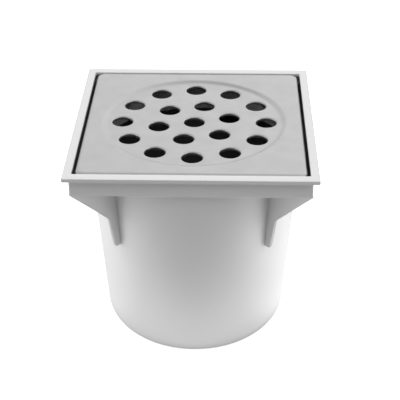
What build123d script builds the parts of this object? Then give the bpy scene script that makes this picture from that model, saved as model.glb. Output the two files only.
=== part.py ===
from build123d import *
from math import atan2, cos, sin, sqrt
import os

# Square floor drain with a lift-out trap. Lengths are in millimetres.
# The origin is the centre of the flat base that the cup stands on. +Z is up and the outlet faces +Y.
# Sizes that end in _drop are measured down from the rim's top face, which lies at floor level.

# Driving dimensions of the rim, the skirt and the tray
total_height = 96.5
rim_side = 100.0
rim_thickness = 1.6
rim_edge_break = 0.3
skirt_side = 95.2
skirt_wall = 1.4
skirt_corner_radius = 0.8
tray_drop = 9.0
tray_floor_thickness = 1.8
seat_side = 7.5

# Driving dimensions of the cup
cup_top_radius = 45.3
cup_base_radius = 39.4
cup_wall = 1.8
cup_floor_thickness = 2.6
cup_base_rounding = 10.4
ledge_width = 1.6

# Driving dimensions of the corner gussets; a reach is how far one stands proud of the cup
gusset_thickness = 2.0
gusset_corner_inset = 0.9
gusset_knee_reach = 4.2
gusset_knee_drop = 28.0
gusset_toe_reach = 2.6
gusset_toe_drop = 42.5
gusset_root_depth = 1.0

# Driving dimensions of the outlet, a socket for a 40 mm waste pipe
pipe_diameter = 40.0
socket_clearance = 0.1
socket_depth = 25.0
socket_rim_gap = 1.0
socket_wall = 2.2
socket_lead_in = 0.8
socket_shoulder = 2.1
outlet_drop = 42.0
collar_length = 4.0
collar_reach = 1.2

# Driving dimensions of the trap insert and its flat seal
insert_drop = 16.0
insert_wall = 1.5
flange_thickness = 1.5
flange_clearance = 0.3
neck_length = 4.0
neck_clearance = 0.4
throat_drop = 36.0
throat_radius = 17.0
dip_radius = 16.2
dip_floor_gap = 11.9
seal_thickness = 1.2

# Driving dimensions of the grate
grate_drop = 0.1
grate_gap = 0.85
grate_sheet = 0.8
grate_corner_radius = 3.6
grate_edge_radius = 2.0
grate_edge_depth = 3.0
dish_radius = 38.6
dish_depth = 1.25
dish_slope_width = 2.0
hole_radius = 4.5
hole_edge_width = 0.8
hole_edge_depth = 0.5
outer_ring_radius = 30.3
outer_ring_count = 12
inner_ring_radius = 15.27
inner_ring_count = 6
inner_ring_turn = 15.0

# Heights above the base
skirt_bottom = total_height - tray_drop
tray_floor = skirt_bottom + tray_floor_thickness
grate_top = total_height - grate_drop
grate_seat = grate_top - grate_edge_depth
dish_floor = grate_top - dish_depth
outlet_height = total_height - outlet_drop
insert_top = total_height - insert_drop
flange_bottom = insert_top - flange_thickness
ledge_height = flange_bottom - seal_thickness
neck_bottom = flange_bottom - neck_length
throat_height = total_height - throat_drop
dip_height = cup_floor_thickness + dip_floor_gap


def cup_radius(height):
    """The cup's outside radius: it grows evenly from the base to the skirt's bottom."""
    return cup_base_radius + (cup_top_radius - cup_base_radius) * height / skirt_bottom


def lower_bore_radius(height):
    """The cup's inside radius below the ledge, where the wall is thicker by the ledge."""
    return cup_radius(height) - cup_wall - ledge_width


# Widths that follow from the driving dimensions
opening_side = skirt_side - 2 * skirt_wall
grate_side = opening_side - 2 * grate_gap
flange_radius = cup_radius(ledge_height) - cup_wall - flange_clearance
socket_radius = pipe_diameter / 2 + socket_clearance
socket_outer_radius = socket_radius + socket_wall
passage_radius = socket_radius - socket_shoulder
socket_stop = rim_side / 2 + socket_rim_gap
socket_mouth = socket_stop + socket_depth

# The body is one moulding: rim, skirt, corner seats, tapered cup, gussets and outlet socket
with BuildPart() as drain_body:
    # The rim is a thin square flange that overhangs the skirt
    with BuildSketch(Plane.XY.offset(total_height - rim_thickness)):
        Rectangle(rim_side, rim_side)
    extrude(amount=rim_thickness)
    with BuildSketch(Plane.XY.offset(skirt_bottom)):
        RectangleRounded(skirt_side, skirt_side, skirt_corner_radius)
    extrude(amount=tray_drop - rim_thickness)

    # The cup's outside tapers from the skirt down to a rounded base
    with BuildSketch(Plane.XZ):
        with BuildLine():
            Polyline(
                (0, skirt_bottom), (cup_top_radius, skirt_bottom), (cup_base_radius, 0), (0, 0), close=True
            )
        make_face()
        fillet(vertices().group_by(Axis.Y)[0].sort_by(Axis.X)[-1], cup_base_rounding)
    revolve(axis=Axis.Z)

    # Four upright gussets carry the skirt's corners; each is a web in a diagonal plane
    knee_height = total_height - gusset_knee_drop
    toe_height = total_height - gusset_toe_drop
    gusset_root = cup_radius(toe_height) - gusset_root_depth
    gusset_corner = (skirt_side / 2 - gusset_corner_inset) * sqrt(2)
    for corner_angle in (45, 135, 225, 315):
        with BuildSketch(Plane.XZ.rotated((0, 0, corner_angle))):
            with BuildLine():
                Polyline(
                    (gusset_root, skirt_bottom),
                    (gusset_corner, skirt_bottom),
                    (cup_radius(knee_height) + gusset_knee_reach, knee_height),
                    (cup_radius(toe_height) + gusset_toe_reach, toe_height),
                    (gusset_root, toe_height),
                    close=True,
                )
            make_face()
        extrude(amount=gusset_thickness / 2, both=True)

    # The outlet's barrel leaves the cup level, with a collar round its mouth
    barrel_root = lower_bore_radius(0) - socket_outer_radius
    with BuildSketch(Plane((0, barrel_root, outlet_height), (1, 0, 0), (0, 1, 0))):
        Circle(socket_outer_radius)
    extrude(amount=socket_mouth - barrel_root)
    with BuildSketch(Plane((0, socket_mouth - collar_length, outlet_height), (1, 0, 0), (0, 1, 0))):
        Circle(socket_outer_radius + collar_reach)
    extrude(amount=collar_length)

    # The square pocket that the grate drops into
    with BuildSketch(Plane.XY.offset(total_height)):
        Rectangle(opening_side, opening_side)
    extrude(amount=tray_floor - total_height, mode=Mode.SUBTRACT)

    # The cup's inside follows its outside, and steps inwards at the ledge that carries the trap
    with BuildSketch(Plane.XZ):
        with BuildLine():
            Polyline(
                (0, tray_floor),
                (cup_radius(skirt_bottom) - cup_wall, tray_floor),
                (cup_radius(skirt_bottom) - cup_wall, skirt_bottom),
                (cup_radius(ledge_height) - cup_wall, ledge_height),
                (lower_bore_radius(ledge_height), ledge_height),
                (lower_bore_radius(cup_floor_thickness), cup_floor_thickness),
                (0, cup_floor_thickness),
                close=True,
            )
        make_face()
        chamfer(vertices().group_by(Axis.Y)[0].sort_by(Axis.X)[-1], cup_base_rounding / 2)
    revolve(axis=Axis.Z, mode=Mode.SUBTRACT)

    # The outlet's passage through the wall, and the wider socket that the pipe pushes into
    with BuildSketch(Plane((0, 0, outlet_height), (1, 0, 0), (0, 1, 0))):
        Circle(passage_radius)
    extrude(amount=socket_stop, mode=Mode.SUBTRACT)
    with BuildSketch(Plane((0, socket_stop, outlet_height), (1, 0, 0), (0, 1, 0))):
        Circle(socket_radius)
    extrude(amount=socket_depth, mode=Mode.SUBTRACT)

    # Four corner seats stand on the tray's floor and carry the grate
    seat_centre = (opening_side - seat_side) / 2
    with BuildSketch(Plane.XY.offset(tray_floor)):
        with GridLocations(2 * seat_centre, 2 * seat_centre, 2, 2):
            Rectangle(seat_side, seat_side)
    extrude(amount=grate_seat - tray_floor)

    # The rim's upper edges are eased, and the socket's mouth leads the pipe in
    chamfer(faces().filter_by(Axis.Z).sort_by(Axis.Z)[-1].outer_wire().edges(), rim_edge_break)
    mouth_edges = edges().filter_by(GeomType.CIRCLE).group_by(Axis.Y)[-1]
    chamfer(mouth_edges.sort_by(SortBy.RADIUS)[0], socket_lead_in)
drain_body.part.label = "drain_body"

# The seal is a flat rubber ring that lies on the ledge
with BuildPart() as insert_seal:
    with BuildSketch(Plane.XY.offset(ledge_height)):
        Circle(flange_radius)
        Circle(lower_bore_radius(ledge_height), mode=Mode.SUBTRACT)
    extrude(amount=seal_thickness)
insert_seal.part.label = "insert_seal"

# The trap insert hangs in the cup by its flange: a neck, a funnel and a pipe that dips into the water
with BuildPart() as trap_insert:
    neck_radius = min(lower_bore_radius(neck_bottom), lower_bore_radius(ledge_height)) - neck_clearance
    # The funnel's inner cone lies one wall above its outer cone, measured square to the slope
    funnel_angle = atan2(neck_bottom - throat_height, neck_radius - throat_radius)
    inner_lift = insert_wall * (1 - sin(funnel_angle)) / cos(funnel_angle)
    with BuildSketch(Plane.XZ):
        with BuildLine():
            Polyline(
                (flange_radius, insert_top),
                (flange_radius, flange_bottom),
                (neck_radius, flange_bottom),
                (neck_radius, neck_bottom),
                (throat_radius, throat_height),
                (dip_radius, dip_height),
                (dip_radius - insert_wall, dip_height),
                (throat_radius - insert_wall, throat_height + inner_lift),
                (neck_radius - insert_wall, neck_bottom + inner_lift),
                (neck_radius - insert_wall, insert_top),
                close=True,
            )
        make_face()
    revolve(axis=Axis.Z)
trap_insert.part.label = "trap_insert"

# The grate is one pressed steel sheet: rolled edges, a round dish and nineteen holes with eased edges
with BuildPart() as grate:
    with BuildSketch(Plane.XY.offset(grate_seat)):
        RectangleRounded(grate_side, grate_side, grate_corner_radius)
    extrude(amount=grate_edge_depth)
    fillet(faces().sort_by(Axis.Z)[-1].edges(), grate_edge_radius)
    offset(amount=-grate_sheet, openings=faces().sort_by(Axis.Z)[0])

    # The dish replaces the flat middle: a sloped step, then a flat floor, in the same sheet
    with BuildSketch(Plane.XY.offset(grate_top)):
        Circle(dish_radius)
    extrude(amount=-grate_sheet, mode=Mode.SUBTRACT)
    with BuildSketch(Plane.XZ):
        with BuildLine():
            Polyline(
                (0, dish_floor),
                (dish_radius - dish_slope_width, dish_floor),
                (dish_radius, grate_top),
                (dish_radius, grate_top - grate_sheet),
                (dish_radius - dish_slope_width, dish_floor - grate_sheet),
                (0, dish_floor - grate_sheet),
                close=True,
            )
        make_face()
    revolve(axis=Axis.Z)

    # One hole in the middle, a ring of six and a ring of twelve, each with its top edge pressed down
    with BuildSketch(Plane.XY.offset(dish_floor - grate_sheet)):
        Circle(hole_radius)
        with PolarLocations(inner_ring_radius, inner_ring_count, start_angle=inner_ring_turn):
            Circle(hole_radius)
        with PolarLocations(outer_ring_radius, outer_ring_count):
            Circle(hole_radius)
    extrude(amount=grate_sheet, mode=Mode.SUBTRACT)
    up_faces = faces().filter_by(GeomType.PLANE).filter_by(lambda face: face.normal_at().Z > 0.5)
    dish_face = up_faces.sort_by(Axis.Z)[0]
    hole_edges = dish_face.inner_wires().edges()
    chamfer(hole_edges, length=hole_edge_width, length2=hole_edge_depth, reference=dish_face)
grate.part.label = "grate"

os.makedirs("parts", exist_ok=True)
for piece in (drain_body, insert_seal, trap_insert, grate):
    export_step(piece.part, f"parts/{piece.part.label}.step")
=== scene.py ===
"""Square PVC floor drain with a pressed steel grate and a lift-out trap, on a plain pale floor.

Lengths are in metres. The part's own frame is kept: the origin is the centre of the cup's flat base,
+Z is up and the outlet faces +Y. The camera looks from -Y, from above.
"""

import math

import bmesh
import bpy
import numpy as np
from mathutils import Matrix, Vector
from mathutils.geometry import delaunay_2d_cdt


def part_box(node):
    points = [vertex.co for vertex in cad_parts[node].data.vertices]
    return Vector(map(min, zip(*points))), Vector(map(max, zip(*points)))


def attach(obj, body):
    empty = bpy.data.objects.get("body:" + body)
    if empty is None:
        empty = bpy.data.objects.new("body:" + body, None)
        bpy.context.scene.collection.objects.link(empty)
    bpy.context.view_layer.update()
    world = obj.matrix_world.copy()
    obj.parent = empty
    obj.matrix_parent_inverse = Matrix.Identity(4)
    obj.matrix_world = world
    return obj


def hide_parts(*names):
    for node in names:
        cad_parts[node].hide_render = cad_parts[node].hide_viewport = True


bl_info = {
    "name": "Square Floor Drain",
    "version": (1, 0, 0),
    "blender": (4, 5, 0),
    "location": "View3D > Sidebar > Drain",
    "description": "Builds a square floor drain with a perforated grate and a lift-out trap",
    "category": "Add Mesh",
}

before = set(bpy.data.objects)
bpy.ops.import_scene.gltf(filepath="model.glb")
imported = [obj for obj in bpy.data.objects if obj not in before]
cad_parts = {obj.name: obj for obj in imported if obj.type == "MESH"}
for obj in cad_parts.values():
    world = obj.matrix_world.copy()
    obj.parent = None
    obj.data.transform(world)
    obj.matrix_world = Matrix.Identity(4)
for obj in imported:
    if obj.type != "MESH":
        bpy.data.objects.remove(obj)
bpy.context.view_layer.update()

MM = 0.001
# Radii of the small roundings on moulded edges
CRISP, EASED, SOFT = 0.2 * MM, 0.3 * MM, 0.4 * MM
WHITE = (1.0, 1.0, 1.0, 1.0)

BODY_LOW, BODY_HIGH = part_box("drain_body")
GRATE_LOW, GRATE_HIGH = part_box("grate")
INSERT_LOW, INSERT_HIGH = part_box("trap_insert")
SEAL_LOW, SEAL_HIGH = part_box("insert_seal")


def length(name, default, description, least=0.0):
    """A length property in metres; least is the smallest value that it takes."""
    return bpy.props.FloatProperty(
        name=name, default=default, min=least, unit="LENGTH", subtype="DISTANCE", precision=5,
        description=description,
    )


def angle(name, default, description):
    """An angle property, given in degrees and kept in radians."""
    return bpy.props.FloatProperty(
        name=name, default=math.radians(default), subtype="ANGLE", description=description
    )


def linear(hex_colour):
    """An sRGB hex colour as linear red, green and blue, by the sRGB curve."""
    channels = [int(hex_colour[i:i + 2], 16) / 255 for i in (1, 3, 5)]
    return tuple(c / 12.92 if c <= 0.04045 else ((c + 0.055) / 1.055) ** 2.4 for c in channels)


def colour(name, hex_colour, description):
    """A colour property whose default is an sRGB hex value."""
    return bpy.props.FloatVectorProperty(
        name=name, default=linear(hex_colour), size=3, min=0.0, max=1.0, subtype="COLOR",
        description=description,
    )


class DrainBodySizes(bpy.types.PropertyGroup):
    """Sizes of the moulded body; drops are measured down from the rim's top face."""

    height: length("Height", BODY_HIGH.z, "From the base to the rim's top face")
    rim_half: length("Rim half side", BODY_HIGH.x, "Half the rim's side")
    rim_thickness: length("Rim thickness", 1.6 * MM, "How thick the overhanging rim is")
    skirt_half: length("Skirt half side", 47.6 * MM, "Half the skirt's side")
    side_wall: length("Side wall", 1.05 * MM, "How thick the skirt's left and right walls are")
    front_wall: length("Front wall", 1.75 * MM, "How thick the skirt's front and back walls are")
    tray_drop: length("Tray drop", 9.0 * MM, "From the rim's top to the skirt's lower edge")
    tray_floor: length("Tray floor", 1.8 * MM, "How thick the tray's floor is")
    seat_side: length("Seat side", 5.0 * MM, "Side of the corner seats under the grate")
    cup_top: length("Cup top radius", 45.3 * MM, "The cup's outside radius at the skirt's lower edge")
    cup_base: length("Cup base radius", 39.4 * MM, "The cup's outside radius at the base, before rounding")
    cup_rounding: length("Base rounding", 10.0 * MM, "Radius of the cup's rounded lower edge")
    cup_wall: length("Cup wall", 1.8 * MM, "How thick the cup's wall is above the ledge")
    cup_floor: length("Cup floor", 2.6 * MM, "How thick the cup's floor is")
    ledge_width: length("Ledge width", 1.6 * MM, "How far the ledge steps inwards")
    gusset_thickness: length("Gusset thickness", 1.0 * MM, "How thick each corner gusset is")
    gusset_inset: length("Gusset inset", 0.3 * MM, "How far a gusset's corner stays inside the skirt")
    knee_reach: length("Knee reach", 4.2 * MM, "How far a gusset stands proud of the cup at its knee")
    knee_drop: length("Knee drop", 28.0 * MM, "From the rim's top to a gusset's knee")
    toe_reach: length("Toe reach", 2.6 * MM, "How far a gusset stands proud of the cup at its toe")
    toe_drop: length("Toe drop", 42.5 * MM, "From the rim's top to a gusset's toe")
    outlet_drop: length("Outlet drop", 42.0 * MM, "From the rim's top to the outlet's axis")
    socket_radius: length("Socket radius", 20.1 * MM, "The socket's inside radius, for a 40 mm pipe")
    socket_wall: length("Socket wall", 2.2 * MM, "How thick the socket's wall is")
    socket_depth: length("Socket depth", 25.0 * MM, "How far the pipe goes in")
    socket_shoulder: length("Socket shoulder", 2.1 * MM, "How far the pipe's stop steps inwards")
    collar_length: length("Collar length", 4.0 * MM, "Length of the collar round the outlet's mouth")
    collar_reach: length("Collar reach", 1.2 * MM, "How far that collar stands proud")


class DrainGrateSizes(bpy.types.PropertyGroup):
    """Sizes of the pressed steel grate."""

    half: length("Half side", GRATE_HIGH.x, "Half the grate's side")
    corner: length("Corner radius", 3.0 * MM, "Radius of the grate's corners, seen from above")
    sheet: length("Sheet", 0.8 * MM, "Thickness of the steel sheet")
    roll: length("Edge roll", 2.0 * MM, "Outer radius of the turned-down edge")
    dish_radius: length("Dish radius", 39.2 * MM, "Radius of the round dish at its top")
    dish_slope: length("Dish slope", 2.9 * MM, "Width of the dish's soft step")
    dish_depth: length("Dish depth", 0.86 * MM, "Depth of the dish")
    hole_radius: length("Hole radius", 4.3 * MM, "Radius of each of the nineteen holes")
    lip_bend: length("Lip bend", 1.15 * MM, "Radius of the pressed-down edge of each hole")
    lip_depth: length("Lip depth", 1.4 * MM, "How far a hole's lip reaches down")
    outer_ring: length("Outer ring", 30.3 * MM, "Radius of the ring of twelve holes")
    inner_ring: length("Inner ring", 15.27 * MM, "Radius of the ring of six holes")
    inner_turn: angle("Inner ring turn", 15.0, "How far the ring of six is turned")


class DrainTrapSizes(bpy.types.PropertyGroup):
    """Sizes of the lift-out trap insert and its seal."""

    flange_thickness: length("Flange thickness", 1.5 * MM, "How thick the flange is")
    wall: length("Wall", 1.5 * MM, "Wall of the neck, the funnel and the dip pipe")
    neck_radius: length("Neck radius", 40.65 * MM, "Outside radius of the neck")
    neck_length: length("Neck length", 4.0 * MM, "Length of the neck under the flange")
    throat_radius: length("Throat radius", 17.0 * MM, "Outside radius at the funnel's lower end")
    throat_drop: length("Throat drop", 20.0 * MM, "From the flange's top to the throat")
    dip_radius: length("Dip radius", 16.2 * MM, "Outside radius of the dip pipe's lower end")
    bend: length("Bend", 2.5 * MM, "Rounding of the bends between neck, funnel and pipe")
    seal_width: length("Seal width", 1.3 * MM, "Width of the flat rubber ring")


class DrainFinishes(bpy.types.PropertyGroup):
    """Colours of the materials, and the painted shade in the slot round the grate."""

    pvc: colour("PVC", "#E6E6E6", "Moulded white PVC")
    steel: colour("Steel", "#B4B4B4", "Satin stainless sheet")
    polypropylene: colour("Polypropylene", "#141516", "Black moulded polypropylene")
    rubber: colour("Rubber", "#1B1B1B", "Seal rubber")
    floor: colour("Floor", "#F7F7F7", "Plain studio floor")
    # Painted shade in the slot round the grate: where it starts under the rim's top, how far it fades in and
    # how much darker it makes the PVC.
    painted_shade_depth: length("Painted shade depth", 0.6 * MM, "From the rim's top to where the film in the slot starts")
    painted_shade_fade: length("Painted shade fade", 1.0 * MM, "Height over which the film in the slot fades in")
    painted_shade_strength: bpy.props.FloatProperty(
        name="Painted shade strength", default=0.84, min=0.0, max=1.0,
        description="How much darker the film makes the PVC",
    )


class DrainStageSizes(bpy.types.PropertyGroup):
    """The camera and the floor. The camera looks at a point on the rim's top plane."""

    lens: bpy.props.FloatProperty(
        name="Lens", default=99.6, min=10.0, subtype="DISTANCE_CAMERA",
        description="Focal length in millimetres",
    )
    target_x: length("Target X", 4.08 * MM, "Where the camera looks, along X", least=-1.0)
    target_y: length("Target Y", -64.08 * MM, "Where the camera looks, along Y", least=-1.0)
    distance: length("Distance", 412.41 * MM, "From the camera to the point that it looks at")
    elevation: angle("Elevation", 31.83, "How far the camera looks down")
    yaw: angle("Yaw", 1.64, "How far the camera stands to the right of the front")
    roll: angle("Roll", -0.27, "The camera's roll")
    floor_half: length("Floor half side", 2.0, "Half the floor's side")


# Grids and profiles


def smooth_profile(corners, segments=6):
    """A polyline with rounded corners.

    corners is a list of (a, z, roundness, radius), where a is the distance from the axis, z the height,
    roundness is 0 on a circle and 1 on a square loop, and radius is the rounding. Each corner with a
    radius becomes an arc that is tangent to both of its runs; a run's roundness changes along it.
    The answer is an array of (a, z, roundness).
    """
    straight = math.pi - 1e-3  # a corner that opens this wide needs no arc
    run_share = 0.49  # how much of a run one arc may take, so that the arcs at its two ends stay apart
    points = np.array([c[:3] for c in corners], float)
    stations = [points[0]]
    radii = [corner[3] for corner in corners[1:-1]]
    for before, here, after, radius in zip(points[:-2], points[1:-1], points[2:], radii):
        to_before, to_after = before[:2] - here[:2], after[:2] - here[:2]
        lengths = np.hypot(*to_before), np.hypot(*to_after)
        to_before, to_after = to_before / lengths[0], to_after / lengths[1]
        opening = math.acos(float(np.clip(to_before @ to_after, -1, 1)))
        if radius <= 0 or opening > straight:
            stations.append(here)
            continue
        tangent = min(radius / math.tan(opening / 2), run_share * lengths[0], run_share * lengths[1])
        radius = tangent * math.tan(opening / 2)
        bisector = (to_before + to_after) / np.hypot(*(to_before + to_after))
        centre = here[:2] + bisector * radius / math.sin(opening / 2)
        start = here[:2] + to_before * tangent - centre
        turn = math.pi - opening
        turn *= np.sign(to_before[1] * to_after[0] - to_before[0] * to_after[1])
        turns = np.linspace(0, turn, segments + 1)
        arc = centre + np.stack([
            start[0] * np.cos(turns) - start[1] * np.sin(turns),
            start[0] * np.sin(turns) + start[1] * np.cos(turns),
        ], 1)
        stations.extend(np.c_[arc, np.full(segments + 1, here[2])])
    stations.append(points[-1])
    return np.array(stations)


def split_runs(stations, longest):
    """Adds evenly spaced stations to each run of a profile that is longer than the given length."""
    runs = []
    for start, end in zip(stations[:-1], stations[1:]):
        steps = max(1, math.ceil(np.hypot(*(end - start)[:2]) / longest))
        runs.append(start + (end - start) * np.linspace(0, 1, steps + 1)[:-1, None])
    return np.vstack([*runs, stations[-1:]])


def loop_columns(side_columns, corner_columns, corner_angle):
    """Column angles for a loop that is a circle in some rows and a square in others.

    Each side of the square spans a quarter turn less the corner's angle, in even steps, and each
    corner has its own even, finer steps. The answer holds, for each column, the polar angle, the
    quarter that it belongs to, where it stands along its side from -1 to 1, and how far it has turned
    round its corner from 0 to 1.
    """
    half_side = math.pi / 4 - corner_angle / 2
    side_angles = np.linspace(-half_side, half_side, side_columns + 1)
    corner_steps = np.linspace(0, 1, corner_columns + 1)[1:-1]
    quarter = np.r_[side_angles, half_side + corner_angle * corner_steps]
    along = np.r_[np.tan(side_angles) / math.tan(half_side), np.ones(len(corner_steps))]
    turned = np.r_[np.zeros(side_columns + 1), corner_steps]
    quarters = np.repeat(np.arange(4), len(quarter))
    return np.tile(quarter, 4) + quarters * math.pi / 2, quarters, np.tile(along, 4), np.tile(turned, 4)


def square_to_round(stations, columns, corner_radius):
    """Rows of points, one row for each station (a, z, roundness).

    A row is the circle of radius a where roundness is 0, the square of half side a with rounded
    corners where it is 1, and the straight blend of the two between.
    """
    theta, quarters, along, turned = columns
    a, z, roundness = (stations[:, i:i + 1] for i in range(3))
    circle = a * np.cos(theta), a * np.sin(theta)
    radius = np.minimum(corner_radius, a)
    flat = a - radius
    corner_turn = turned * math.pi / 2
    side_x = flat + radius * np.cos(corner_turn)
    side_y = flat * along + radius * np.sin(corner_turn)
    spin = quarters * math.pi / 2
    square = side_x * np.cos(spin) - side_y * np.sin(spin), side_x * np.sin(spin) + side_y * np.cos(spin)
    x, y = (c * (1 - roundness) + s * roundness for c, s in zip(circle, square))
    return np.stack([x, y, np.broadcast_to(z, x.shape)], 2)


def turned_rows(profile, count, centre=(0.0, 0.0)):
    """Rows of points of a surface of revolution: each (radius, height) of the profile becomes a circle."""
    theta = np.arange(count) * 2 * math.pi / count
    radius, height = profile[:, 0:1], profile[:, 1:2]
    x, y = centre[0] + radius * np.cos(theta), centre[1] + radius * np.sin(theta)
    return np.stack([x, y, np.broadcast_to(height, x.shape)], 2)


def grid_faces(rows, columns, close_rows=False):
    """Quads of a grid whose columns run round a loop; close_rows joins the last row to the first."""
    row = np.arange(rows if close_rows else rows - 1)[:, None]
    column = np.arange(columns)[None, :]
    next_row, next_column = (row + 1) % rows, (column + 1) % columns
    return np.stack([
        row * columns + column, row * columns + next_column,
        next_row * columns + next_column, next_row * columns + column,
    ], 2).reshape(-1, 4)


def grid_surface(rows, close_rows=False):
    """A surface (points, quads, no other polygons) from rows of points."""
    return rows.reshape(-1, 3), grid_faces(*rows.shape[:2], close_rows), []


def plate_surface(outline, thickness, easing, origin, across, up, segments=3):
    """A flat plate with eased edges.

    outline is an array of (across, up) points round the plate. Rows step through the thickness: each
    row is the outline, moved near both faces by a quarter circle of the easing's radius along each
    corner's mitre, inwards if it runs counter-clockwise and outwards if clockwise. The two faces are
    closed by one polygon each.
    """
    least_opening = 0.3  # keeps the mitre of a very sharp corner short
    after, before = np.roll(outline, -1, 0) - outline, outline - np.roll(outline, 1, 0)
    after, before = (d / np.linalg.norm(d, axis=1, keepdims=True) for d in (after, before))
    normals = np.stack([after[:, 1] + before[:, 1], -after[:, 0] - before[:, 0]], 1)
    normals /= np.maximum(1 + (after * before).sum(1, keepdims=True), least_opening)
    turns = np.linspace(0, math.pi / 2, segments + 1)
    drawn_in = easing * (1 - np.sin(turns))
    depth = thickness / 2 - easing * (1 - np.cos(turns))
    insets = np.r_[drawn_in, drawn_in[::-1]]
    depths = np.r_[depth, -depth[::-1]]
    flat = outline[None] - insets[:, None, None] * normals[None]
    across, up = np.array(across, float), np.array(up, float)
    through = np.cross(across, up)
    points = np.array(origin) + flat[..., :1] * across + flat[..., 1:] * up + depths[:, None, None] * through
    count = len(outline)
    caps = [list(range(count)), list(range(len(insets) * count - 1, (len(insets) - 1) * count - 1, -1))]
    return points.reshape(-1, 3), grid_faces(len(insets), count), caps


def turn_outwards(build):
    """Turns the faces of a closed skin outwards: its signed volume has to be positive."""
    if build.calc_volume(signed=True) < 0:
        bmesh.ops.reverse_faces(build, faces=build.faces)


def make_piece(name, surfaces, sharp_angle=35.0):
    """One mesh object from closed surfaces, each of them points, quads and a list of other polygons.

    Coincident points are joined, and each surface faces outwards.
    """
    build = bmesh.new()
    for points, quads, polygons in surfaces:
        part = bmesh.new()
        mesh = bpy.data.meshes.new(name)
        mesh.from_pydata(points.tolist(), [], quads.tolist() + polygons)
        part.from_mesh(mesh)
        bmesh.ops.remove_doubles(part, verts=part.verts, dist=0.001 * MM)
        turn_outwards(part)
        part.to_mesh(mesh)
        part.free()
        build.from_mesh(mesh)
        bpy.data.meshes.remove(mesh)
    mesh = bpy.data.meshes.new(name)
    build.to_mesh(mesh)
    build.free()
    mesh.shade_smooth()
    mesh.set_sharp_from_angle(angle=math.radians(sharp_angle))
    piece = bpy.data.objects.new(name, mesh)
    bpy.context.scene.collection.objects.link(piece)
    return piece


def place_piece(piece, node, material):
    """The piece rides on the one body, stands for its CAD node and takes that node's material slot."""
    piece.data.materials.append(material)
    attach(piece, "root")
    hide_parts(node)


# Shapes of the body


def cup_radius(s, height):
    """The cup's outside radius, which grows evenly with height up to the skirt's lower edge."""
    return s.cup_base + (s.cup_top - s.cup_base) * height / (s.height - s.tray_drop)


def lower_bore(s, height):
    """The cup's inside radius below the ledge."""
    return cup_radius(s, height) - s.cup_wall - s.ledge_width


def body_shell(s):
    """Rim, skirt, tray and cup as one closed skin.

    One profile runs from the base's middle up the outside, over the rim and down the inside to the
    floor's middle. Its stations are circles on the cup and squares on the skirt and rim, and the flat
    ring between them blends from one to the other. The pocket's rows are drawn in a little along Y, to
    the front and back walls' own thickness.
    """
    cup_top_bend, skirt_edge, ledge_edge = 0.5 * MM, 0.35 * MM, 0.25 * MM
    skirt_foot, tray_border = 0.8 * MM, 0.6 * MM
    skirt_bottom = s.height - s.tray_drop
    tray_floor = skirt_bottom + s.tray_floor
    opening = s.skirt_half - s.side_wall
    ledge = SEAL_LOW.z
    bore_top = cup_radius(s, skirt_bottom) - s.cup_wall
    profile = smooth_profile([
        (0, 0, 0, 0),
        (s.cup_base, 0, 0, s.cup_rounding),
        (s.cup_top, skirt_bottom, 0, cup_top_bend),
        (s.skirt_half - skirt_foot, skirt_bottom, 1, 0),
        (s.skirt_half, skirt_bottom, 1, skirt_edge),
        (s.skirt_half, s.height - s.rim_thickness, 1, EASED),
        (s.rim_half, s.height - s.rim_thickness, 1, CRISP),
        (s.rim_half, s.height, 1, EASED),
        (opening, s.height, 1, CRISP),
        (opening, tray_floor, 1, EASED),
        (opening - tray_border, tray_floor, 1, 0),
        (bore_top, tray_floor, 0, SOFT),
        (bore_top, skirt_bottom, 0, 0),
        (cup_radius(s, ledge) - s.cup_wall, ledge, 0, CRISP),
        (lower_bore(s, ledge), ledge, 0, ledge_edge),
        (lower_bore(s, s.cup_floor), s.cup_floor, 0, s.cup_rounding - s.cup_wall - s.ledge_width),
        (0, s.cup_floor, 0, 0),
    ], segments=8)
    profile = split_runs(profile, longest=4 * MM)
    columns = loop_columns(side_columns=64, corner_columns=8, corner_angle=math.radians(2.0))
    rows = square_to_round(profile, columns, corner_radius=0.5 * MM)
    pocket = (profile[:, 2] == 1) & (profile[:, 0] < opening + EASED)
    rows[pocket, :, 1] *= (s.skirt_half - s.front_wall) / opening
    return grid_surface(rows)


def gusset_surface(s, turn):
    """One upright web in a diagonal plane: a corner bracket whose outer edge kinks at the knee.

    Its outline runs clockwise, so its edges flare a little at both faces. The root lies inside the cup's
    wall below the ledge, and stands a little inside the bore above it, where the wall is thinner. The
    top reaches into the tray's floor.
    """
    root_depth, overlap = 1.0 * MM, 0.4 * MM
    knee_bend, toe_bend = 1.5 * MM, 0.8 * MM
    skirt_bottom, knee, toe = s.height - s.tray_drop, s.height - s.knee_drop, s.height - s.toe_drop
    root = cup_radius(s, toe) - root_depth
    corner = (s.skirt_half - s.gusset_inset) * math.sqrt(2)
    outline = smooth_profile([
        (root, skirt_bottom + overlap, 0, 0),
        (corner, skirt_bottom + overlap, 0, 0),
        (corner, skirt_bottom, 0, 0),
        (cup_radius(s, knee) + s.knee_reach, knee, 0, knee_bend),
        (cup_radius(s, toe) + s.toe_reach, toe, 0, toe_bend),
        (root, toe, 0, 0),
    ])[:, :2]
    across = (math.cos(turn), math.sin(turn), 0)
    return plate_surface(
        outline, s.gusset_thickness, easing=0.25 * MM, origin=(0, 0, 0), across=across, up=(0, 0, 1))


def seat_surface(s, side_x, side_y):
    """One corner seat: a low block on the tray's floor, whose top carries the grate's turned-down edge.

    It is sunk a little into the floor, and its outer sides end inside the skirt's walls.
    """
    sunk, wall_left = 0.2 * MM, 0.5 * MM
    bottom = s.height - s.tray_drop + s.tray_floor - sunk
    top = GRATE_LOW.z
    half = s.seat_side / 2
    middle = s.skirt_half - wall_left - half
    outline = half * np.array([(-1, -1), (1, -1), (1, 1), (-1, 1)])
    origin = (side_x * middle, side_y * middle, (bottom + top) / 2)
    return plate_surface(outline, top - bottom, easing=CRISP, origin=origin, across=(1, 0, 0), up=(0, 1, 0))


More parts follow.
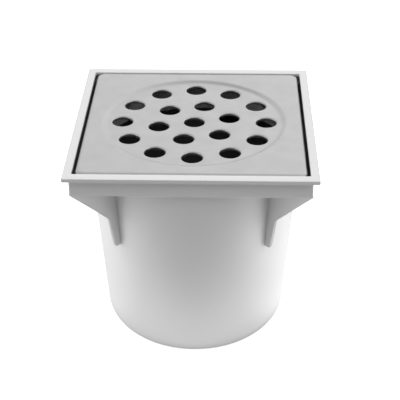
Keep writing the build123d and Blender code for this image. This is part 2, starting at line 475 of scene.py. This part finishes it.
def barrel_surface(s):
    """The outlet: a thick tube along +Y, closed from its mouth to its root in the cup's wall.

    Its inner end lies on the cup's bore, where y is the square root of the bore's radius squared less
    x squared; the bore's radius is taken at each point's own height.
    """
    count = 160
    passage_run, tube_run, lead_in, lead_in_edge = 4 * MM, 6 * MM, 0.8 * MM, 0.15 * MM
    fillet, fillet_sunk, bevel = 1.0 * MM, 0.02 * MM, 1.0 * MM
    phi = np.arange(count) * 2 * math.pi / count
    height = s.height - s.outlet_drop
    passage, outer = s.socket_radius - s.socket_shoulder, s.socket_radius + s.socket_wall
    collar = outer + s.collar_reach
    mouth = BODY_HIGH.y
    stop = mouth - s.socket_depth
    collar_foot = mouth - s.collar_length

    def on_wall(radius, wall):
        """Where a tube of this radius meets the wall whose radius at a height is wall(s, height)."""
        x, z = radius * np.cos(phi), height + radius * np.sin(phi)
        return np.sqrt(wall(s, z) ** 2 - x ** 2)

    profile = smooth_profile([
        (passage, stop - passage_run, 0, 0),
        (passage, stop, 0, EASED),
        (s.socket_radius, stop, 0, EASED),
        (s.socket_radius, mouth - lead_in, 0, 0),
        (s.socket_radius + lead_in, mouth, 0, lead_in_edge),
        (collar, mouth, 0, SOFT),
        (collar, collar_foot, 0, EASED),
        (outer, collar_foot, 0, EASED),
        (outer, collar_foot - tube_run, 0, 0),
    ])
    radii = [np.full(count, r) for r in profile[:, 0]]
    depths = [np.full(count, y) for y in profile[:, 1]]
    for turn in np.linspace(0, math.pi / 2, 6):
        radius = outer + fillet * (1 - math.cos(turn))
        radii.append(np.full(count, radius))
        depths.append(on_wall(radius, cup_radius) + fillet * (1 - math.sin(turn)) - fillet_sunk)
    for radius, short in ((outer, bevel), (passage + bevel, 0), (passage, 0)):
        radii.append(np.full(count, radius))
        depths.append(on_wall(radius, lower_bore) + short)
    radii, depths = np.array(radii), np.array(depths)
    rows = np.stack([radii * np.cos(phi), depths, height + radii * np.sin(phi)], 2)
    return grid_surface(rows, close_rows=True)


class DRAIN_OT_body(bpy.types.Operator):
    """Build the moulded body: rim, skirt, seats, cup, gussets and outlet in one piece"""

    bl_idname = "drain.body"
    bl_label = "Moulded Body"

    def execute(self, context):
        s = context.scene.drain_body
        quarter = math.pi / 2
        surfaces = [body_shell(s), barrel_surface(s)]
        surfaces += [gusset_surface(s, quarter / 2 + quarter * i) for i in range(4)]
        surfaces += [seat_surface(s, x, y) for x in (-1, 1) for y in (-1, 1)]
        piece = make_piece("drain_body_moulding", surfaces)
        place_piece(piece, "drain_body", pvc_material(context.scene.drain_finishes, s))
        return {"FINISHED"}


# Shapes of the grate


def hole_centres(g):
    """The centres of the nineteen holes: one in the middle, a ring of six and a ring of twelve."""
    inner = g.inner_turn + np.arange(6) * math.pi / 3
    outer = np.arange(12) * math.pi / 6
    return np.vstack([
        [[0.0, 0.0]],
        g.inner_ring * np.stack([np.cos(inner), np.sin(inner)], 1),
        g.outer_ring * np.stack([np.cos(outer), np.sin(outer)], 1),
    ])


def pressed_down(g, points):
    """Presses the dish into points of the flat sheet.

    Each point moves down by the dish's depth times one less u squared times (3 - 2u), where u goes from
    0 at the foot of the soft step to 1 at its top, with the distance from the axis.
    """
    radius = np.hypot(points[..., 0], points[..., 1])
    u = np.clip((radius - g.dish_radius + g.dish_slope) / g.dish_slope, 0, 1)
    pressed = points.copy()
    pressed[..., 2] -= g.dish_depth * (1 - u * u * (3 - 2 * u))
    return pressed


def sheet_band(g, columns, floor_radius):
    """The sheet outside the middle, as one strip from its top to its underside.

    Its profile crosses the dish's step, the flat border and the rolled edge on the top side, turns
    round the cut edge and comes back on the underside, one sheet's thickness away.
    """
    cut_edge, flat_run, past_dish, dish_steps = 0.12 * MM, 0.4 * MM, 0.1 * MM, 14
    top, bottom = GRATE_HIGH.z, GRATE_LOW.z
    under = top - g.sheet
    inner_half = g.half - g.sheet
    border = g.half - g.roll - flat_run
    outwards = [(r, top, 0, 0) for r in np.linspace(floor_radius, g.dish_radius + past_dish, dish_steps)]
    edge = [
        (border, top, 1, 0),
        (g.half, top, 1, g.roll),
        (g.half, bottom, 1, cut_edge),
        (inner_half, bottom, 1, cut_edge),
        (inner_half, under, 1, g.roll - g.sheet),
        (border, under, 1, 0),
    ]
    inwards = [(r, under, 0, 0) for r, *_ in reversed(outwards)]
    profile = smooth_profile(outwards + edge + inwards, segments=12)
    return square_to_round(profile, columns, g.corner)


def lip_rows(g, centre, count, rim_radius):
    """One hole's lip: from the sheet's top, round the bend, down the hole and back up on the underside.

    The pressing draws the lip out, so it is thinner than the sheet.
    """
    cut_edge, root_bend, thinned = 0.1 * MM, 0.15 * MM, 0.8
    top = GRATE_HIGH.z
    collar = g.hole_radius + g.sheet * thinned
    profile = smooth_profile([
        (rim_radius, top, 0, 0),
        (g.hole_radius, top, 0, g.lip_bend),
        (g.hole_radius, top - g.lip_depth, 0, cut_edge),
        (collar, top - g.lip_depth, 0, cut_edge),
        (collar, top - g.sheet, 0, root_bend),
        (rim_radius, top - g.sheet, 0, 0),
    ], segments=8)
    return turned_rows(profile, count, centre)


def floor_triangles(border, loops, centres, rim_radius):
    """Triangles that fill the sheet between a round border and the nineteen lips, seen from above.

    Rings of extra points, kept clear of the lips, let the sheet bend if the dish's step is made so wide
    that it begins inside the border; the rings near the border are close together. A triangle lies in a
    hole if its middle is nearer to the hole's centre than the loop's sides are.
    """
    apart, close, close_from, border_gap = 4, 0.35, 34.4, 0.2  # in millimetres
    point_step, lip_gap = 1.2 * MM, 0.15 * MM
    close_to = np.hypot(*border[0]) / MM - border_gap
    radii = np.r_[np.arange(apart, close_from, apart), np.arange(close_from, close_to, close)] * MM
    counts = np.ceil(radii / point_step).astype(int) * 4
    turns = [np.arange(count) * 2 * math.pi / count for count in counts]
    rings = np.vstack([r * np.stack([np.cos(t), np.sin(t)], 1) for r, t in zip(radii, turns)])
    clear = np.linalg.norm(rings[:, None] - centres[None], axis=2).min(1) > rim_radius + lip_gap
    points = np.vstack([border, *loops, rings[clear]])
    sizes = [len(border)] + [len(loop) for loop in loops]
    starts = np.cumsum([0] + sizes[:-1])
    edges = [
        (int(start + i), int(start + (i + 1) % size))
        for start, size in zip(starts, sizes)
        for i in range(size)
    ]
    all_triangles, tolerance = 0, 1e-4
    found = delaunay_2d_cdt([Vector(p) for p in points / MM], edges, [], all_triangles, tolerance)
    coords, faces = np.array(found[0]) * MM, np.array(found[2])
    middles = coords[faces].mean(1)
    nearest = np.linalg.norm(middles[:, None] - centres[None], axis=2).min(1)
    return coords, faces[nearest > rim_radius * math.cos(math.pi / len(loops[0]))]


def grate_surface(g):
    """The whole grate as one closed skin: the band, nineteen lips and the middle's two faces."""
    lip_border, web = 0.15 * MM, 0.25 * MM
    columns = loop_columns(side_columns=40, corner_columns=16, corner_angle=math.radians(4.0))
    rim_radius = g.hole_radius + g.lip_bend + lip_border
    floor_radius = g.outer_ring + rim_radius + web
    centres = hole_centres(g)
    band = sheet_band(g, columns, floor_radius)
    lips = [lip_rows(g, centre, count=48, rim_radius=rim_radius) for centre in centres]
    loops = [lip[0, :, :2] for lip in lips]
    coords, triangles = floor_triangles(band[0, :, :2], loops, centres, rim_radius)
    above = np.c_[coords, np.full(len(coords), GRATE_HIGH.z)]
    below = np.c_[coords, np.full(len(coords), GRATE_HIGH.z - g.sheet)]
    points, polygons = [], []
    for rows in [band, *lips]:
        start = sum(len(p) for p in points)
        points.append(rows.reshape(-1, 3))
        polygons.append(grid_faces(*rows.shape[:2]) + start)
    start = sum(len(p) for p in points)
    flat_faces = (triangles + start).tolist() + (triangles[:, ::-1] + start + len(coords)).tolist()
    return pressed_down(g, np.vstack([*points, above, below])), np.vstack(polygons), flat_faces


class DRAIN_OT_grate(bpy.types.Operator):
    """Build the grate: one pressed steel sheet with a dish and nineteen lipped holes"""

    bl_idname = "drain.grate"
    bl_label = "Steel Grate"

    def execute(self, context):
        piece = make_piece("steel_grate", [grate_surface(context.scene.drain_grate)], sharp_angle=60.0)
        build = bmesh.new()
        build.from_mesh(piece.data)
        bmesh.ops.recalc_face_normals(build, faces=build.faces)
        turn_outwards(build)
        build.to_mesh(piece.data)
        build.free()
        place_piece(piece, "grate", steel_material(context.scene.drain_finishes))
        return {"FINISHED"}


# Shapes of the trap


def insert_profile(t):
    """The trap insert's wall in section: flange, neck, funnel and dip pipe, closed round its thickness.

    The funnel's inner cone lies one wall above its outer cone, measured square to the slope.
    """
    tight, seam = 0.5 * MM, 0.8 * MM
    top, bottom = INSERT_HIGH.z, INSERT_LOW.z
    flange = INSERT_HIGH.x
    flange_bottom = top - t.flange_thickness
    neck_bottom = flange_bottom - t.neck_length
    throat = top - t.throat_drop
    slope = math.atan2(neck_bottom - throat, t.neck_radius - t.throat_radius)
    lift = t.wall * (1 - math.sin(slope)) / math.cos(slope)
    outer_radii = t.neck_radius, t.throat_radius, t.dip_radius
    inner_neck, inner_throat, inner_dip = (radius - t.wall for radius in outer_radii)
    start = (flange - seam, top, 0, 0)
    return smooth_profile([
        start,
        (flange, top, 0, SOFT),
        (flange, flange_bottom, 0, EASED),
        (t.neck_radius, flange_bottom, 0, CRISP),
        (t.neck_radius, neck_bottom, 0, t.bend),
        (t.throat_radius, throat, 0, t.bend),
        (t.dip_radius, bottom, 0, tight),
        (inner_dip, bottom, 0, tight),
        (inner_throat, throat + lift, 0, t.bend),
        (inner_neck, neck_bottom + lift, 0, t.bend),
        (inner_neck, top, 0, tight),
        start,
    ])[:-1]


def seal_profile(t):
    """The flat seal in section: a rectangle with eased corners, from the middle of its underside."""
    outer, low, high = SEAL_HIGH.x, SEAL_LOW.z, SEAL_HIGH.z
    inner = outer - t.seal_width
    middle = ((inner + outer) / 2, low, 0, 0)
    corners = [(r, z, 0, CRISP) for r, z in ((outer, low), (outer, high), (inner, high), (inner, low))]
    return smooth_profile([middle, *corners, middle], segments=4)[:-1]


def turned_piece(name, profile):
    """A mesh object that is the closed profile turned round the upright axis."""
    return make_piece(name, [grid_surface(turned_rows(profile, count=144), close_rows=True)])


class DRAIN_OT_trap(bpy.types.Operator):
    """Build the lift-out trap insert and the rubber seal under its flange"""

    bl_idname = "drain.trap"
    bl_label = "Trap Insert and Seal"

    def execute(self, context):
        t, finishes = context.scene.drain_trap, context.scene.drain_finishes
        insert = turned_piece("black_trap_insert", insert_profile(t))
        place_piece(insert, "trap_insert", polypropylene_material(finishes))
        seal = turned_piece("rubber_seal_ring", seal_profile(t))
        place_piece(seal, "insert_seal", rubber_material(finishes))
        return {"FINISHED"}


# Materials


def add_node(tree, kind, inputs=None, links=None, **settings):
    """Adds one shader node, sets its attributes and input values, and links outputs into its inputs."""
    node = tree.nodes.new(kind)
    for key, value in settings.items():
        setattr(node, key, value)
    for key, value in (inputs or {}).items():
        node.inputs[key].default_value = value
    for key, socket in (links or {}).items():
        tree.links.new(socket, node.inputs[key])
    return node


def new_material(name):
    """A material with an empty node tree and its output node."""
    material = bpy.data.materials.new(name)
    material.use_nodes = True
    material.node_tree.nodes.clear()
    output = add_node(material.node_tree, "ShaderNodeOutputMaterial")
    return material, material.node_tree, output


def waves(width):
    """The scale at which a noise texture's waves are this wide, in metres."""
    return 1 / width


def painted_slot_shade(tree, place, finishes, s):
    """How much of its colour the PVC keeps: 1 in the open, less in the slot round the grate.

    Painted shade: the PVC's colour is drawn darker on the pocket's walls, from the painted shade's depth
    under the rim's top down to the tray's floor, where the narrow slot lies in deep shade. It lets the slot
    read as a thin black line. It is a strip that starts inside the skirt's walls, so that it leaves out
    their outer faces.
    """
    in_wall, strip, above_tray = 0.7 * MM, 2.5 * MM, 1.0 * MM
    split = add_node(tree, "ShaderNodeSeparateXYZ", {}, {0: place}).outputs
    sides = [
        add_node(tree, "ShaderNodeMath", {}, {0: split[axis]}, operation="ABSOLUTE").outputs[0]
        for axis in "XY"
    ]
    reach = add_node(tree, "ShaderNodeMath", {}, {0: sides[0], 1: sides[1]}, operation="MAXIMUM").outputs[0]
    top = s.height - finishes.painted_shade_depth
    bottom = s.height - s.tray_drop + above_tray
    outer = s.skirt_half - in_wall
    darkening = add_node(
        tree, "ShaderNodeMapRange", {"From Min": top, "From Max": top - finishes.painted_shade_fade},
        {"Value": split["Z"]}).outputs["Result"]
    limits = (
        (split["Z"], bottom, "GREATER_THAN"),
        (reach, outer, "LESS_THAN"),
        (reach, outer - strip, "GREATER_THAN"),
    )
    for value, limit, test in limits:
        within = add_node(tree, "ShaderNodeMath", {1: limit}, {0: value}, operation=test).outputs[0]
        darkening = add_node(tree, "ShaderNodeMath", {}, {0: darkening, 1: within}, operation="MULTIPLY").outputs[0]
    return add_node(
        tree, "ShaderNodeMath", {1: -finishes.painted_shade_strength, 2: 1.0}, {0: darkening},
        operation="MULTIPLY_ADD").outputs[0]


def pvc_material(finishes, s):
    """Moulded PVC: a white satin skin with a faint unevenness left by the mould.

    The sinking of the thick walls gives waves 17 mm wide. The mould's texture is finer than a tenth of a
    millimetre and wouldn't show, so its grain is drawn 0.7 mm wide.
    """
    material, tree, output = new_material("moulded_white_pvc")
    place = add_node(tree, "ShaderNodeTexCoord").outputs["Object"]
    # The PVC's colour is darkened by the painted shade in the slot round the grate.
    skin = add_node(
        tree, "ShaderNodeVectorMath", {0: finishes.pvc}, {"Scale": painted_slot_shade(tree, place, finishes, s)},
        operation="SCALE")
    sinks = add_node(
        tree, "ShaderNodeTexNoise", {"Scale": waves(16.667 * MM), "Detail": 3.0}, {"Vector": place})
    grain = add_node(
        tree, "ShaderNodeTexNoise", {"Scale": waves(0.6667 * MM), "Detail": 2.0}, {"Vector": place})
    shine = add_node(
        tree, "ShaderNodeMapRange",
        {"From Min": 0.3, "From Max": 0.7, "To Min": 0.38, "To Max": 0.48}, {"Value": sinks.outputs["Fac"]})
    soft = add_node(
        tree, "ShaderNodeBump", {"Strength": 0.12, "Distance": 0.4 * MM}, {"Height": sinks.outputs["Fac"]})
    fine = add_node(
        tree, "ShaderNodeBump", {"Strength": 0.05, "Distance": 0.05 * MM},
        {"Height": grain.outputs["Fac"], "Normal": soft.outputs["Normal"]})
    shader = add_node(tree, "ShaderNodeBsdfPrincipled", {"IOR": 1.53}, {
        "Base Color": skin.outputs["Vector"],
        "Roughness": shine.outputs["Result"],
        "Normal": fine.outputs["Normal"],
    })
    tree.links.new(shader.outputs["BSDF"], output.inputs["Surface"])
    return material


def steel_material(finishes):
    """Stainless sheet, brushed satin: a soft grey metal with a fine grain along X and faint clouds.

    Real brush lines are some hundredths of a millimetre apart and wouldn't show, so they are drawn
    0.4 mm apart and 17 mm long. The clouds are 6 mm wide.
    """
    material, tree, output = new_material("satin_stainless_sheet")
    place = add_node(tree, "ShaderNodeTexCoord").outputs["Object"]
    along, across = waves(16.667 * MM), waves(0.3846 * MM)
    stretched = add_node(tree, "ShaderNodeMapping", {"Scale": (along, across, across)}, {"Vector": place})
    grain = add_node(
        tree, "ShaderNodeTexNoise", {"Scale": 1.0, "Detail": 4.0}, {"Vector": stretched.outputs["Vector"]})
    clouds = add_node(
        tree, "ShaderNodeTexNoise", {"Scale": waves(6.25 * MM), "Detail": 4.0}, {"Vector": place})
    shine = add_node(
        tree, "ShaderNodeMapRange",
        {"From Min": 0.3, "From Max": 0.7, "To Min": 0.37, "To Max": 0.46}, {"Value": clouds.outputs["Fac"]})
    bump = add_node(
        tree, "ShaderNodeBump", {"Strength": 0.16, "Distance": 0.05 * MM}, {"Height": grain.outputs["Fac"]})
    shader = add_node(
        tree, "ShaderNodeBsdfPrincipled", {"Base Color": (*finishes.steel, 1.0), "Metallic": 1.0},
        {"Roughness": shine.outputs["Result"], "Normal": bump.outputs["Normal"]})
    tree.links.new(shader.outputs["BSDF"], output.inputs["Surface"])
    return material


def polypropylene_material(finishes):
    """Moulded polypropylene: black, slightly waxy, with a faint matt texture drawn 1.1 mm wide to show."""
    material, tree, output = new_material("moulded_black_polypropylene")
    place = add_node(tree, "ShaderNodeTexCoord").outputs["Object"]
    grain = add_node(
        tree, "ShaderNodeTexNoise", {"Scale": waves(1.1111 * MM), "Detail": 2.0}, {"Vector": place})
    bump = add_node(
        tree, "ShaderNodeBump", {"Strength": 0.15, "Distance": 0.08 * MM}, {"Height": grain.outputs["Fac"]})
    shader = add_node(
        tree, "ShaderNodeBsdfPrincipled",
        {"Base Color": (*finishes.polypropylene, 1.0), "Roughness": 0.5, "IOR": 1.49},
        {"Normal": bump.outputs["Normal"]})
    tree.links.new(shader.outputs["BSDF"], output.inputs["Surface"])
    return material


def rubber_material(finishes):
    """Moulded seal rubber: near black and dull, with a fine grain drawn 0.8 mm wide to show."""
    material, tree, output = new_material("moulded_seal_rubber")
    place = add_node(tree, "ShaderNodeTexCoord").outputs["Object"]
    grain = add_node(
        tree, "ShaderNodeTexNoise", {"Scale": waves(0.8333 * MM), "Detail": 2.0}, {"Vector": place})
    bump = add_node(
        tree, "ShaderNodeBump", {"Strength": 0.2, "Distance": 0.08 * MM}, {"Height": grain.outputs["Fac"]})
    shader = add_node(
        tree, "ShaderNodeBsdfPrincipled",
        {"Base Color": (*finishes.rubber, 1.0), "Roughness": 0.85, "IOR": 1.52},
        {"Normal": bump.outputs["Normal"]})
    tree.links.new(shader.outputs["BSDF"], output.inputs["Surface"])
    return material


def floor_material(finishes):
    """Matt painted studio floor: plain and pale, with a glow of its own that keeps it white."""
    material, tree, output = new_material("matt_studio_floor")
    shader = add_node(tree, "ShaderNodeBsdfPrincipled", {
        "Base Color": (*finishes.floor, 1.0),
        "Roughness": 0.9,
        "Emission Color": WHITE,
        "Emission Strength": 0.65,
    })
    tree.links.new(shader.outputs["BSDF"], output.inputs["Surface"])
    return material


# Stage


# Rings of soft patches of light round the object: a ring's elevation in degrees and how sharp its
# patches are, then each patch's azimuth in degrees, with 0 at +X and 90 at +Y, and its strength. These
# strengths and the panels' radiances are rounded from a least-squares fit of trial renders to the
# photograph's tones.
SOFT_RINGS = (
    (8, 12, {0: 0.92, 45: 0.74, 90: 1.05, 135: 0.63, 180: 1.05, 270: 0.06}),
    (35, 12, {45: 1.22, 90: 0.60, 135: 0.85}),
    (60, 12, {45: 0.37, 90: 0.58, 225: 0.63, 270: 0.62, 315: 0.98}),
    (-40, 5, {0: 1.00, 180: 1.17}),
    (30, 60, {195: 2.39, 210: 1.53, 330: 1.58, 345: 2.40}),
    (15, 60, {190: 0.91, 345: 0.29}),
)

# Low soft panels just above the floor that face up, like the glow of a bright floor near the object:
# middle (x, y) and sides (x, y) in millimetres, then radiance.
LOW_PANELS = (
    ((0, -50), (90, 16), 0.51),
    ((0, -66), (120, 16), 1.54),
    ((-52, -5), (16, 90), 0.54),
    ((-68, -10), (16, 120), 0.39),
    ((-106, -10), (60, 160), 1.16),
    ((52, -5), (16, 90), 0.99),
    ((68, -10), (16, 120), 0.55),
    ((106, -10), (60, 160), 1.72),
)


def studio_surround():
    """Plain soft studio light from all round, as a sum of soft round patches.

    In a direction, a patch gives its strength times e to the power of its sharpness times the cosine of
    the angle to its middle less one.
    """
    world = bpy.data.worlds.new("studio_surround")
    world.use_nodes = True
    tree = world.node_tree
    tree.nodes.clear()
    direction = add_node(tree, "ShaderNodeTexCoord").outputs["Generated"]
    patches = [
        (math.radians(azimuth), math.radians(elevation), sharpness, strength)
        for elevation, sharpness, ring in SOFT_RINGS
        for azimuth, strength in ring.items()
    ]
    so_far = {}
    for turn, lift, sharpness, strength in patches:
        middle = (math.cos(turn) * math.cos(lift), math.sin(turn) * math.cos(lift), math.sin(lift))
        cosine = add_node(tree, "ShaderNodeVectorMath", {1: middle}, {0: direction}, operation="DOT_PRODUCT")
        fall = add_node(
            tree, "ShaderNodeMath", {1: sharpness, 2: -sharpness}, {0: cosine.outputs["Value"]},
            operation="MULTIPLY_ADD")
        patch = add_node(tree, "ShaderNodeMath", {}, {0: fall.outputs[0]}, operation="EXPONENT")
        total = add_node(
            tree, "ShaderNodeMath", {1: strength, 2: 0.0}, {0: patch.outputs[0], **so_far},
            operation="MULTIPLY_ADD")
        so_far = {2: total.outputs[0]}
    background = add_node(tree, "ShaderNodeBackground", {"Color": WHITE}, {"Strength": so_far[2]})
    add_node(tree, "ShaderNodeOutputWorld", {}, {"Surface": background.outputs["Background"]})
    bpy.context.scene.world = world


def low_panel(middle, sides, radiance):
    """An area light that lies just above the floor and faces up; it doesn't show in the picture."""
    above_floor = 0.5 * MM
    data = bpy.data.lights.new("floor_glow", "AREA")
    data.shape = "RECTANGLE"
    data.size, data.size_y = (side * MM for side in sides)
    data.energy = radiance * math.pi * data.size * data.size_y
    panel = bpy.data.objects.new("floor_glow", data)
    panel.location = (middle[0] * MM, middle[1] * MM, above_floor)
    panel.rotation_euler = (math.pi, 0, 0)
    panel.visible_camera = False
    bpy.context.scene.collection.objects.link(panel)


def photo_camera(c, rim_height):
    """The photograph's camera: turned by yaw, elevation and roll about a point on the rim's top plane."""
    yaw, lift, roll = c.yaw, c.elevation, c.roll
    back = np.array([math.sin(yaw) * math.cos(lift), -math.cos(yaw) * math.cos(lift), math.sin(lift)])
    level = np.array([math.cos(yaw), math.sin(yaw), 0.0])
    upright = np.cross(back, level)
    right = math.cos(roll) * level + math.sin(roll) * upright
    up = -math.sin(roll) * level + math.cos(roll) * upright
    place = np.array([c.target_x, c.target_y, rim_height]) + c.distance * back
    data = bpy.data.cameras.new("photo_camera")
    data.lens, data.sensor_width = c.lens, 36.0
    data.clip_start, data.clip_end = 0.01, 20.0
    camera = bpy.data.objects.new("photo_camera", data)
    bpy.context.scene.collection.objects.link(camera)
    matrix = np.eye(4)
    matrix[:3, 0], matrix[:3, 1], matrix[:3, 2], matrix[:3, 3] = right, up, back, place
    camera.matrix_world = Matrix(matrix.tolist())
    bpy.context.scene.camera = camera


class DRAIN_OT_stage(bpy.types.Operator):
    """Build the camera, the plain floor and the soft studio light"""

    bl_idname = "drain.stage"
    bl_label = "Stage"

    def execute(self, context):
        c, finishes = context.scene.drain_stage, context.scene.drain_finishes
        photo_camera(c, BODY_HIGH.z)
        corners = [(x * c.floor_half, y * c.floor_half, 0) for x, y in ((-1, -1), (1, -1), (1, 1), (-1, 1))]
        mesh = bpy.data.meshes.new("studio_floor")
        mesh.from_pydata(corners, [], [(0, 1, 2, 3)])
        floor = bpy.data.objects.new("studio_floor", mesh)
        mesh.materials.append(floor_material(finishes))
        context.scene.collection.objects.link(floor)
        floor.visible_diffuse = floor.visible_glossy = floor.visible_shadow = False
        studio_surround()
        for panel in LOW_PANELS:
            low_panel(*panel)
        context.scene.view_settings.view_transform = "Standard"
        return {"FINISHED"}


class DRAIN_PT_panel(bpy.types.Panel):
    """Sizes, colours and building steps of the floor drain"""

    bl_idname = "DRAIN_PT_panel"
    bl_label = "Floor Drain"
    bl_space_type = "VIEW_3D"
    bl_region_type = "UI"
    bl_category = "Drain"

    def draw(self, context):
        layout = self.layout
        for group in GROUPS:
            sizes = getattr(context.scene, group)
            box = layout.box()
            for name in sizes.__annotations__:
                box.prop(sizes, name)
        for operator in OPERATORS:
            layout.operator(operator.bl_idname)


GROUPS = {
    "drain_body": DrainBodySizes,
    "drain_grate": DrainGrateSizes,
    "drain_trap": DrainTrapSizes,
    "drain_finishes": DrainFinishes,
    "drain_stage": DrainStageSizes,
}
OPERATORS = (DRAIN_OT_body, DRAIN_OT_grate, DRAIN_OT_trap, DRAIN_OT_stage)


def register():
    """Registers the property groups, the operators and the panel."""
    for name, group in GROUPS.items():
        bpy.utils.register_class(group)
        setattr(bpy.types.Scene, name, bpy.props.PointerProperty(type=group))
    for operator in OPERATORS:
        bpy.utils.register_class(operator)
    bpy.utils.register_class(DRAIN_PT_panel)


def unregister():
    """Takes away all that register adds, in the opposite order."""
    bpy.utils.unregister_class(DRAIN_PT_panel)
    for operator in reversed(OPERATORS):
        bpy.utils.unregister_class(operator)
    for name, group in reversed(GROUPS.items()):
        delattr(bpy.types.Scene, name)
        bpy.utils.unregister_class(group)


def main():
    """Builds the drain and its stage."""
    register()
    bpy.ops.drain.body()
    bpy.ops.drain.grate()
    bpy.ops.drain.trap()
    bpy.ops.drain.stage()
    bpy.context.view_layer.update()


if __name__ == "__main__":
    main()
